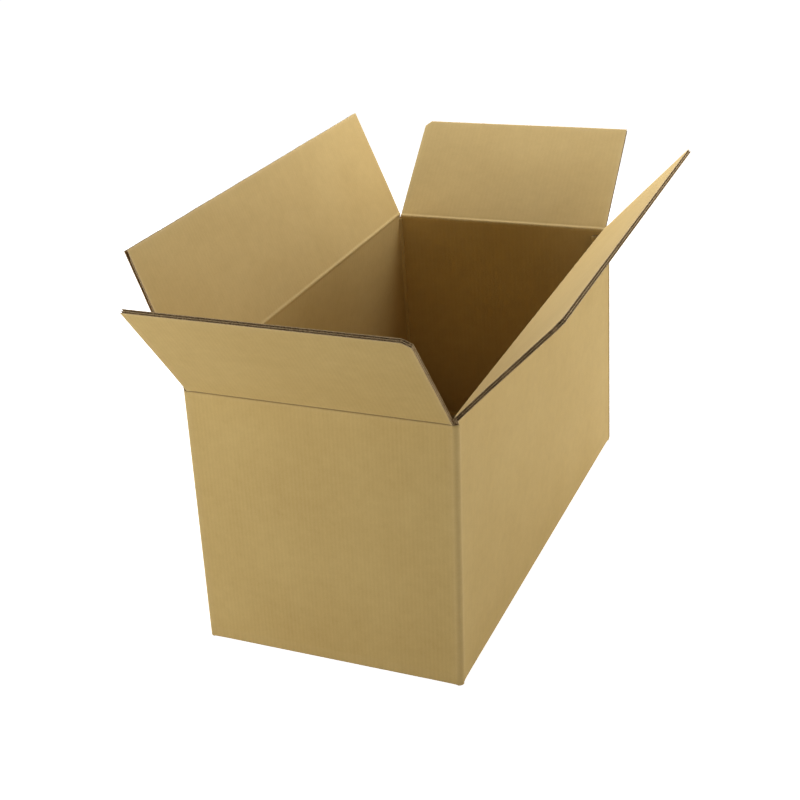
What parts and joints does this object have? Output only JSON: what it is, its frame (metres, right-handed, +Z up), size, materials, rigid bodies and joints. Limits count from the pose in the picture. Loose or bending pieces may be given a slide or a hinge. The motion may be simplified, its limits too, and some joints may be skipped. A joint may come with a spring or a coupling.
{
  "type": "open cardboard box",
  "caption": "Slotted corrugated shipping box with a glued floor and side seam, standing open with its top flaps leaning out.",
  "frame": {"origin": "on the ground under the middle of the box's four walls", "axes": "+Z up; Y along the long walls; X across the short walls; the front short wall faces -Y"},
  "size_m": [0.6223, 1.0913, 0.6237],
  "materials": {
    "kraft_board": "matte"
  },
  "bodies": {
    "box": {"box_body": "kraft_board"},
    "front_flap": {"front_flap": "kraft_board"},
    "right_flap": {"right_flap": "kraft_board"},
    "back_flap": {"back_flap": "kraft_board"},
    "left_flap": {"left_flap": "kraft_board"}
  },
  "joints": [
    {"name": "front_flap_hinge", "type": "hinge", "parent": "box", "child": "front_flap", "pos_m": [0, -0.40665, 0.41965], "axis": [1, 0, 0], "range_deg": [-127.3, 137.7]},
    {"name": "right_flap_hinge", "type": "hinge", "parent": "box", "child": "right_flap", "pos_m": [0.20665, 0, 0.42645], "axis": [0, 1, 0], "range_deg": [-133.7, 131.3]},
    {"name": "back_flap_hinge", "type": "hinge", "parent": "box", "child": "back_flap", "pos_m": [0, 0.40665, 0.41965], "axis": [-1, 0, 0], "range_deg": [-138, 127]},
    {"name": "left_flap_hinge", "type": "hinge", "parent": "box", "child": "left_flap", "pos_m": [-0.20665, 0, 0.42645], "axis": [0, -1, 0], "range_deg": [-108.9, 156.1]}
  ]
}
